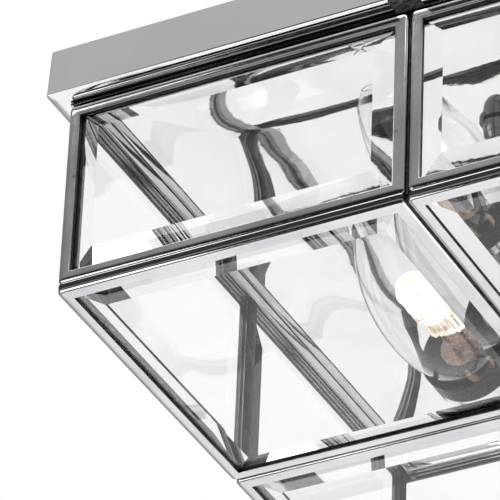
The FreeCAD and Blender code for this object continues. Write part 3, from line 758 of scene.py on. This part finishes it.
tilt = math.radians(crown)
crown_run = lip - softened - bead * (1 - math.sin(tilt))
crown_r = crown_run / math.sin(tilt)
drop = (crown_r - bead) * (1 - math.cos(tilt))
strip_section = arc((bead, bead + drop), bead, 180, 270 - crown, 9)
strip_section += arc((lip - softened, crown_r), crown_r, 270 - crown, 270, 5)[1:-1]
strip_section += arc((lip - softened, softened), softened, 270, 360, 4)
groove = strip_depth - back_thick
strip_section += [(lip, lip_thick), (rim_metal, lip_thick), (rim_metal, groove),
                  (back_lip, groove), (back_lip, strip_depth), (0.0, strip_depth)]
print("section of", len(strip_section), "points, crowned by", round(drop, 2), "mm")

# %% [markdown]
# One rule carries a section round a rectangle. A swept curve would thin the strip at
# the corners, and a rule does not: where the corner is still round, the point turns
# about the corner's centre, and further in it runs along the mitre. The section comes
# in as a curve object, so the same recipe serves the folded rim.

# %% Frame recipe
turns_per_corner = 6
ring = turns_per_corner + 1
r = Recipe("mitred_frame", {"Width": 0.1155, "Height": 0.1155, "Corner": corner * mm,
                            "Section points": len(strip_section),
                            "Section": "object"})
points = r.given["Section points"]
grid, across, along = r.lattice(points + 1.0, 4 * ring + 1)
wrapped = across - (across / points).floor() * points
drawing = r.node("GeometryNodeObjectInfo", None, {"Object": r.given["Section"]})["Geometry"]
position = r.node("GeometryNodeInputPosition")["Position"]
spot = r.node("GeometryNodeSampleIndex", {"data_type": "FLOAT_VECTOR", "domain": "POINT"},
              {"Geometry": drawing, "Value": position, "Index": wrapped})["Value"]
spot = r.node("ShaderNodeSeparateXYZ", None, {0: spot})
inset, deep = spot["X"], spot["Y"]

quarter = (along / ring).floor()
angle = (quarter + (along - quarter * ring) / turns_per_corner) * (math.pi / 2)
diagonal = (quarter + 0.5) * (math.pi / 2)
round_left = (r.given["Corner"] - inset).most(0.0)
past_round = inset.most(r.given["Corner"])
x = (diagonal.cosine().sign() * (r.given["Width"] * 0.5 - past_round)
     + angle.cosine() * round_left)
y = (diagonal.sine().sign() * (r.given["Height"] * 0.5 - past_round)
     + angle.sine() * round_left)
r.done(r.placed(r.marked(r.marked(grid, "deep", deep), "inset", inset), x, y, deep))
frame_recipe = r

# %% [markdown]
# A section becomes a curve object that stays out of the scene and feeds the recipe.
# Its points could be typed into the tree, but that would bury them.

# %% Grow a frame from a section
def drawn_section(name, points):
    """A curve object with the section's points, for the recipe to read."""
    drawn = bpy.data.curves.new(name, "CURVE")
    spline = drawn.splines.new("POLY")
    spline.points.add(len(points) - 1)
    for point, (inset, deep) in zip(spline.points, points):
        point.co = (inset * mm, deep * mm, 0.0, 1.0)
    return bpy.data.objects.new(name, drawn)


def mitred_frame(section, width, height, corner, place, finish):
    mesh = grown(frame_recipe, finish, Width=width * mm, Height=height * mm,
                 Corner=corner * mm, Section=section,
                 Section_points=len(section.data.splines[0].points))
    mesh.transform(place)
    return mesh


strip_curve = drawn_section("strip_section", strip_section)
print("drawn", strip_curve.name)

# %% [markdown]
# Each wall has two frames. The front and back walls run the full width of the box and
# the side walls fit between them. A frame is grown lying flat, stood up, moved to the
# front wall and turned round the box, so one rule serves all four walls.

# %% Twelve frames
half_box, seam, seat = 116.0, 1.0, 0.3
wall_top, wall_foot, underside = -18.7, -85.2, -89.0
long_strip = (2 * half_box - seam) / 2
short_strip = (2 * half_box - 2 * strip_depth - 2 * seat - seam) / 2


def strip_frame(node, width, height, place):
    finish = finish_of(node)
    mesh = mitred_frame(strip_curve, width, height, corner, place, finish)
    piece(node.replace("frame", "strips"), [mesh], "glass_box", "polished_strip", [node],
          finish)


for wall, degrees, width in (("front", 0, long_strip), ("right", 90, short_strip),
                             ("back", 180, long_strip), ("left", 270, short_strip)):
    for number, side in ((1, -1), (2, 1)):
        at = moved(side * (width + seam) / 2, -half_box, (wall_top + wall_foot) / 2)
        strip_frame("wall_frame_%s_%d" % (wall, number), width, wall_top - wall_foot,
                    turned(degrees, "Z") @ at @ turned(-90, "X"))
step = (long_strip + seam) / 2
for number, (sx, sy) in enumerate(((-1, -1), (1, -1), (1, 1), (-1, 1)), 1):
    strip_frame("bottom_frame_%d" % number, long_strip, long_strip,
                moved(sx * step, sy * step, underside))
print("twelve strip frames of", long_strip, "and", round(short_strip, 2), "mm")

# %% [markdown]
# The rim round the open top of the box is the same rule with another section: a flat
# plate that lies on the walls, and a lip that turns down inside and is rolled over at
# its edge. The rolled edge gives the bright line under the pan.

# %% Folded rim
rim_size, rim_corner, rim_top = 231.6, 0.4, -17.8
sheet, plate, lip_outer, lip_end, roll = 0.6, 5.4, 7.0, -3.5, 0.8
lip_middle = (plate + sheet + lip_outer) / 2
rim_section = [(0.0, 0.0), (0.0, -sheet), (plate, -sheet)]
rim_section += arc((plate, -2 * sheet), sheet, 90, 0, 5)[1:]
rim_section += arc((lip_middle, lip_end), lip_outer - lip_middle, 180, 360, 10)
rim_section += arc((lip_outer - roll, -roll), roll, 0, 90, 6)
rim = mitred_frame(drawn_section("rim_section", rim_section), rim_size, rim_size,
                   rim_corner, moved(0, 0, rim_top), finishes["folded_rim"])
piece("folded_rim", [rim], "glass_box", "folded_rim", ["top_rim"])
print("rim section of", len(rim_section), "points")

# %% [markdown]
# ## Solder
# Behind every seam a bar is soldered to both frames. Solder wets, runs and freezes, so
# the bar's edge wanders. It could be sculpted, but a rule is quicker: a flattened tube
# whose width and thickness follow noise along it and close to a point at both ends.
# Each run reads the noise at a place of its own.

# %% Solder run recipe
round_points, run_points, end_taper = 18, 141, 1.6
r = Recipe("solder_run", {"Length": 0.1, "Width": 4.4 * mm, "Thickness": 1.3 * mm,
                          "Lumps": 0.30, "Shift": 0.0})
grid, across, along = r.lattice(round_points + 1, run_points)
share = along / (run_points - 1)
turn = across * (2 * math.pi / round_points)
far = (share - 0.5) * r.given["Length"]


def wander(size, seed, weight):
    """Noise about zero, one value to each place along and round the run."""
    at = {"X": far / size, "Y": turn.cosine() * weight + r.given["Shift"] + seed,
          "Z": turn.sine() * weight}
    return r.noise_at(r.node("ShaderNodeCombineXYZ", None, at)["Vector"], 1.0, 1.0) - 0.5


end = (share.least(1.0 - share) * (r.given["Length"] / (end_taper * mm))).least(1.0)
swell = (wander(5.0 * mm, 3.0, 0.5) * 2.0 * r.given["Lumps"] + 1.0) * end.power(0.5)
beads = (wander(2.2 * mm, 11.0, 0.9) * 1.6 * r.given["Lumps"] + 1.0) * end.power(0.5)
sway = wander(14.0 * mm, 29.0, 0.0) * r.given["Width"] * 0.35
r.done(r.placed(grid, far, turn.cosine() * r.given["Width"] * 0.5 * swell + sway,
                turn.sine() * r.given["Thickness"] * 0.5 * beads))
solder_recipe = r

# %% [markdown]
# Two runs cross behind the seams of the bottom, and one stands behind the middle seam
# of each wall. The CAD bars stay where they are, and the solder lies over them.

# %% Solder on the bars
run_width, run_thick, cross_z = 4.7, 1.7, -84.85
post_face, post_middle = 111.95, -51.2


def solder(length, place, shift):
    mesh = grown(solder_recipe, finishes["dark_solder"], Length=length * mm,
                 Width=run_width * mm, Thickness=run_thick * mm, Lumps=0.30, Shift=shift)
    mesh.transform(place)
    return mesh


cross = [solder(221.0, turned(degrees, "Z") @ moved(0, 0, cross_z), 5.0 + degrees)
         for degrees in (0, 90)]
piece("bottom_cross_solder", cross, "glass_box", "dark_solder", sharp=60)
stood_up = moved(0, -post_face, post_middle) @ turned(90, "X") @ turned(90, "Z")
posts = [solder(64.5, turned(degrees, "Z") @ stood_up, 1.0 + degrees)
         for degrees in (0, 90, 180, 270)]
piece("middle_post_solder", posts, "glass_box", "dark_solder", sharp=60)
print("solder on", len(cross) + len(posts), "runs")

# %% [markdown]
# ## Smooth skins for turned and rolled parts
# The CAD mesh of a turned part is loose triangles with flat shading, and in a mirror
# finish every flat shows. A copy whose points are joined can be shaded smoothly.
# Weighted normals let the large flat faces keep their own direction, so only the
# narrow steps of a rounding blend.

# %% Smooth copies
def smooth_copy(node, body):
    mesh = frame["nodes"][node].data.copy()
    work = bmesh.new()
    work.from_mesh(mesh)
    merged(work)
    bmesh.ops.dissolve_limit(work, angle_limit=math.radians(0.6),
                             verts=work.verts, edges=work.edges)
    work.to_mesh(mesh)
    work.free()
    shaded(mesh, 38.0, finish_of(node))
    made = put(node + "_smooth", mesh)
    weigh = made.modifiers.new("weigh", "WEIGHTED_NORMAL")
    weigh.mode, weigh.keep_sharp, weigh.weight = "FACE_AREA", True, 80
    made.data = plain_mesh(made)
    made.data.name = made.name
    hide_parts(node)
    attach(made, body)


bodies = frame["record"]["behaviour"]["bodies"]
body_of = {node: body for body, nodes in bodies.items() for node in nodes}
turned_parts = ["ceiling_pan", "lampholder_1", "lampholder_2", "dome_nuts",
                "stud_washers", "grommets", "holder_bracket_1", "holder_bracket_2",
                "pan_studs", "hinge_pin", "hinge_leaf_pan", "hinge_leaf_wall",
                "lamp_1_contact", "lamp_2_contact", "lamp_1_cap", "lamp_2_cap"]
for node in turned_parts:
    smooth_copy(node, body_of[node])
print("smooth copies of", len(turned_parts), "parts")

# %% [markdown]
# ## Candle lamps
# Each lamp is a thin clear candle envelope with a small capsule in it. Both are made of
# rings of points with faces between them. A Screw modifier could turn the envelope, but
# the capsule's pinch isn't round, and with rings one function makes both. A ring of one
# point is a pole. Everything is made for lamp 1 and turned half round for lamp 2.

# %% Rings of points
around_points = 64
pole_r = 0.01


def skinned(name, rings, endless=False):
    """Mesh over rings of points in millimetres. An endless one closes on its first
    ring, and any other gets a flat end on its last."""
    work = bmesh.new()
    rings = [[work.verts.new(Vector(point) * mm) for point in ring] for ring in rings]
    for low, high in zip(rings, rings[1:] + rings[:1] if endless else rings[1:]):
        for i in range(around_points):
            j = (i + 1) % around_points
            corners = [low[i % len(low)], low[j % len(low)],
                       high[j % len(high)], high[i % len(high)]]
            distinct = list(dict.fromkeys(corners))
            if len(distinct) > 2:
                work.faces.new(distinct)
    if not endless:
        work.faces.new(rings[-1])
    mesh = bpy.data.meshes.new(name)
    work.to_mesh(mesh)
    work.free()
    return mesh


def both_lamps(name, meshes, slot, replaced=(), sharp=50.0):
    """The piece for lamp 1, and the same turned half round for lamp 2."""
    for number, degrees in ((1, 0), (2, 180)):
        copies = [mesh.copy() for mesh in meshes]
        for copy in copies:
            copy.transform(turned(degrees, "Z"))
        piece(name % number, copies, "lamp_%d" % number, slot,
              [node % number for node in replaced], sharp=sharp)


print("rings of", around_points, "points")

# %% [markdown]
# The envelope swells from its neck to a crest and narrows along a longer bow to its
# tip: two arcs that are level where they meet. They are the CAD model's arcs, in finer
# steps and with the real wall of half a millimetre, because flats in clear glass break
# up everything seen through it.

# %% Envelope
crest_y, nose_y, neck_y = -4.6, -56.0, 30.4
crest_r, nose_r, neck_r = 17.1, 2.7, 6.2
tip_length, glass_wall = 1.6, 0.55


def bow(run, fall, steps):
    """Points (along, down) of an arc that is level at its start and drops by fall."""
    radius = (run ** 2 + fall ** 2) / (2 * fall)
    turns = [math.asin(run / radius) * i / steps for i in range(steps + 1)]
    return [(radius * math.sin(t), radius * (1 - math.cos(t))) for t in turns]


def candle(inset):
    """Points (y, radius) of the envelope from neck to tip, drawn in by inset."""
    neck = bow(neck_y - crest_y, crest_r - neck_r, 16)
    nose = bow(crest_y - nose_y, crest_r - nose_r, 32)
    points = [(crest_y + along, crest_r - inset - down) for along, down in reversed(neck)]
    points += [(crest_y - along, crest_r - inset - down) for along, down in nose[1:]]
    end_r = nose_r - inset
    length = tip_length * end_r / nose_r
    points += [(nose_y - length * math.sin(t), end_r * math.cos(t))
               for t in [math.radians(15 * i) for i in range(1, 6)]]
    return points + [(nose_y - length, 0.0)]


def round_ring(y, radius):
    turns = [2 * math.pi * i / around_points for i in range(around_points)]
    return [(-lamp_x + radius * math.cos(t), y, lamp_z + radius * math.sin(t))
            for t in turns[:1 if radius < pole_r else around_points]]


profile = candle(0.0) + candle(glass_wall)[::-1]
envelope = skinned("envelope", [round_ring(*point) for point in profile], endless=True)
both_lamps("lamp_%d_envelope", [envelope], "lamp_glass", ["lamp_%d_glass"])
print("envelope of", len(envelope.polygons), "faces")

# %% [markdown]
# The capsule is a quartz tube with a domed end, a little wrinkled from the flame. Its
# other end was pressed flat over the leads while hot, and the press leaves ribs. Its
# rings are round up to the shoulder and squarish from there on.

# %% Capsule with its ribbed pinch
capsule_r, dome, squarish = 6.0, 5.0, 0.55
pinch_start, shoulder, capsule_end = -7.1, -4.6, 4.9
pinch_run, narrower, flatter = 3.5, 0.2, 4.3
rib_start, rib_pitch, rib_depth = -3.2, 2.0, 0.28


def pinched(along):
    """Half width and half thickness of the capsule at a distance along it."""
    if along < capsule_tip + dome:
        rise = math.sqrt(max(0.0, 1 - ((capsule_tip + dome - along) / dome) ** 2))
        return capsule_r * rise, capsule_r * rise
    if along < pinch_start:
        return capsule_r, capsule_r
    mix = min(1.0, (along - pinch_start) / pinch_run)
    mix = mix * mix * (3 - 2 * mix)
    return capsule_r - narrower * mix, capsule_r - flatter * mix


def rooted(value, power):
    """value, from -1 to 1, with its size raised to a power."""
    return math.copysign(abs(value) ** power, value)


def capsule_ring(y, in_pinch):
    wide, thick = pinched(y)
    if wide < pole_r:
        return [(-lamp_x, y, lamp_z)]
    ring = []
    for t in [2 * math.pi * i / around_points for i in range(around_points)]:
        power = squarish if in_pinch else 1.0
        dx, dz = rooted(math.cos(t), power) * wide, rooted(math.sin(t), power) * thick
        if not in_pinch:
            wrinkle = 1 + 0.030 * math.sin(3 * t + 1.1 * y) + 0.020 * math.sin(5 * t - 1.9 * y)
            dx, dz = dx * wrinkle, dz * wrinkle
        elif y > rib_start and abs(math.sin(t)) > 0.3:
            dz *= 1 + rib_depth * (0.5 + 0.5 * math.cos(dx * 2 * math.pi / rib_pitch))
        ring.append((-lamp_x + dx, y, lamp_z + dz))
    return ring


tube = pinch_start - capsule_tip - dome
stations = [capsule_tip + dome * (1 - math.cos(math.radians(11.25 * i))) for i in range(9)]
stations += [capsule_tip + dome + tube * i / 6 for i in range(1, 7)]
stations += [pinch_start + (capsule_end - pinch_start) * i / 24 for i in range(1, 25)]
pinch_from = shoulder - 0.25      # the ring on the shoulder itself is in the pinch
capsule = skinned("capsule", [capsule_ring(y, y > pinch_from) for y in stations])
both_lamps("lamp_%d_quartz", [capsule], "capsule_quartz", ["lamp_%d_capsule"], sharp=40)
print("capsule of", len(capsule.polygons), "faces")

# %% [markdown]
# ## Coils
# The thread of the cap and the sprung turns of the leads are both a round wire on a
# spiral, so one recipe makes them from turns, radius, length and wire size. It starts
# and ends at different radii, which lets the leads narrow towards the capsule.

# %% Coil recipe
r = Recipe("coil", {"Turns": 5.0, "Start": 1.0 * mm, "End": 1.0 * mm,
                    "Length": 5.0 * mm, "Wire": 0.2 * mm, "Points": 24})
path = r.node("GeometryNodeCurveSpiral", None, {
    "Resolution": r.given["Points"], "Rotations": r.given["Turns"],
    "Start Radius": r.given["Start"], "End Radius": r.given["End"],
    "Height": r.given["Length"]})["Curve"]
outline = r.node("GeometryNodeCurvePrimitiveCircle", None,
                 {"Resolution": 8, "Radius": r.given["Wire"]})["Curve"]
r.done(r.node("GeometryNodeCurveToMesh", None,
              {"Curve": path, "Profile Curve": outline, "Fill Caps": True})["Mesh"])
coil_recipe = r

# %% [markdown]
# A coil rises along Z when it is grown. It is laid over onto the axis of lamp 1, where
# it starts at a distance y and may stand a little off the axis, as sprung leads do.

# %% Sprung leads and cap thread
def coil(turns, start, end, length, wire, points, slot, y, dx=0.0, dz=0.0):
    mesh = grown(coil_recipe, finishes[slot], Turns=turns, Start=start * mm,
                 End=end * mm, Length=length * mm, Wire=wire * mm, Points=points)
    mesh.transform(moved(-lamp_x + dx, y, lamp_z + dz) @ turned(-90, "X"))
    return mesh


leads = [coil(3.2, 3.9, 1.6, 2.6, 0.26, 32, "lamp_stem", 8.2),
         coil(2.6, 4.4, 2.2, 2.4, 0.22, 32, "lamp_stem", 9.6, 0.5, 0.4)]
both_lamps("lamp_%d_sprung_leads", leads, "lamp_stem", sharp=60)
thread = coil(4.5, 6.88, 6.88, 12.4, 0.30, 36, "lamp_cap", 31.0)
both_lamps("lamp_%d_thread", [thread], "lamp_cap", sharp=60)
print(len(leads), "leads and one thread to a lamp")
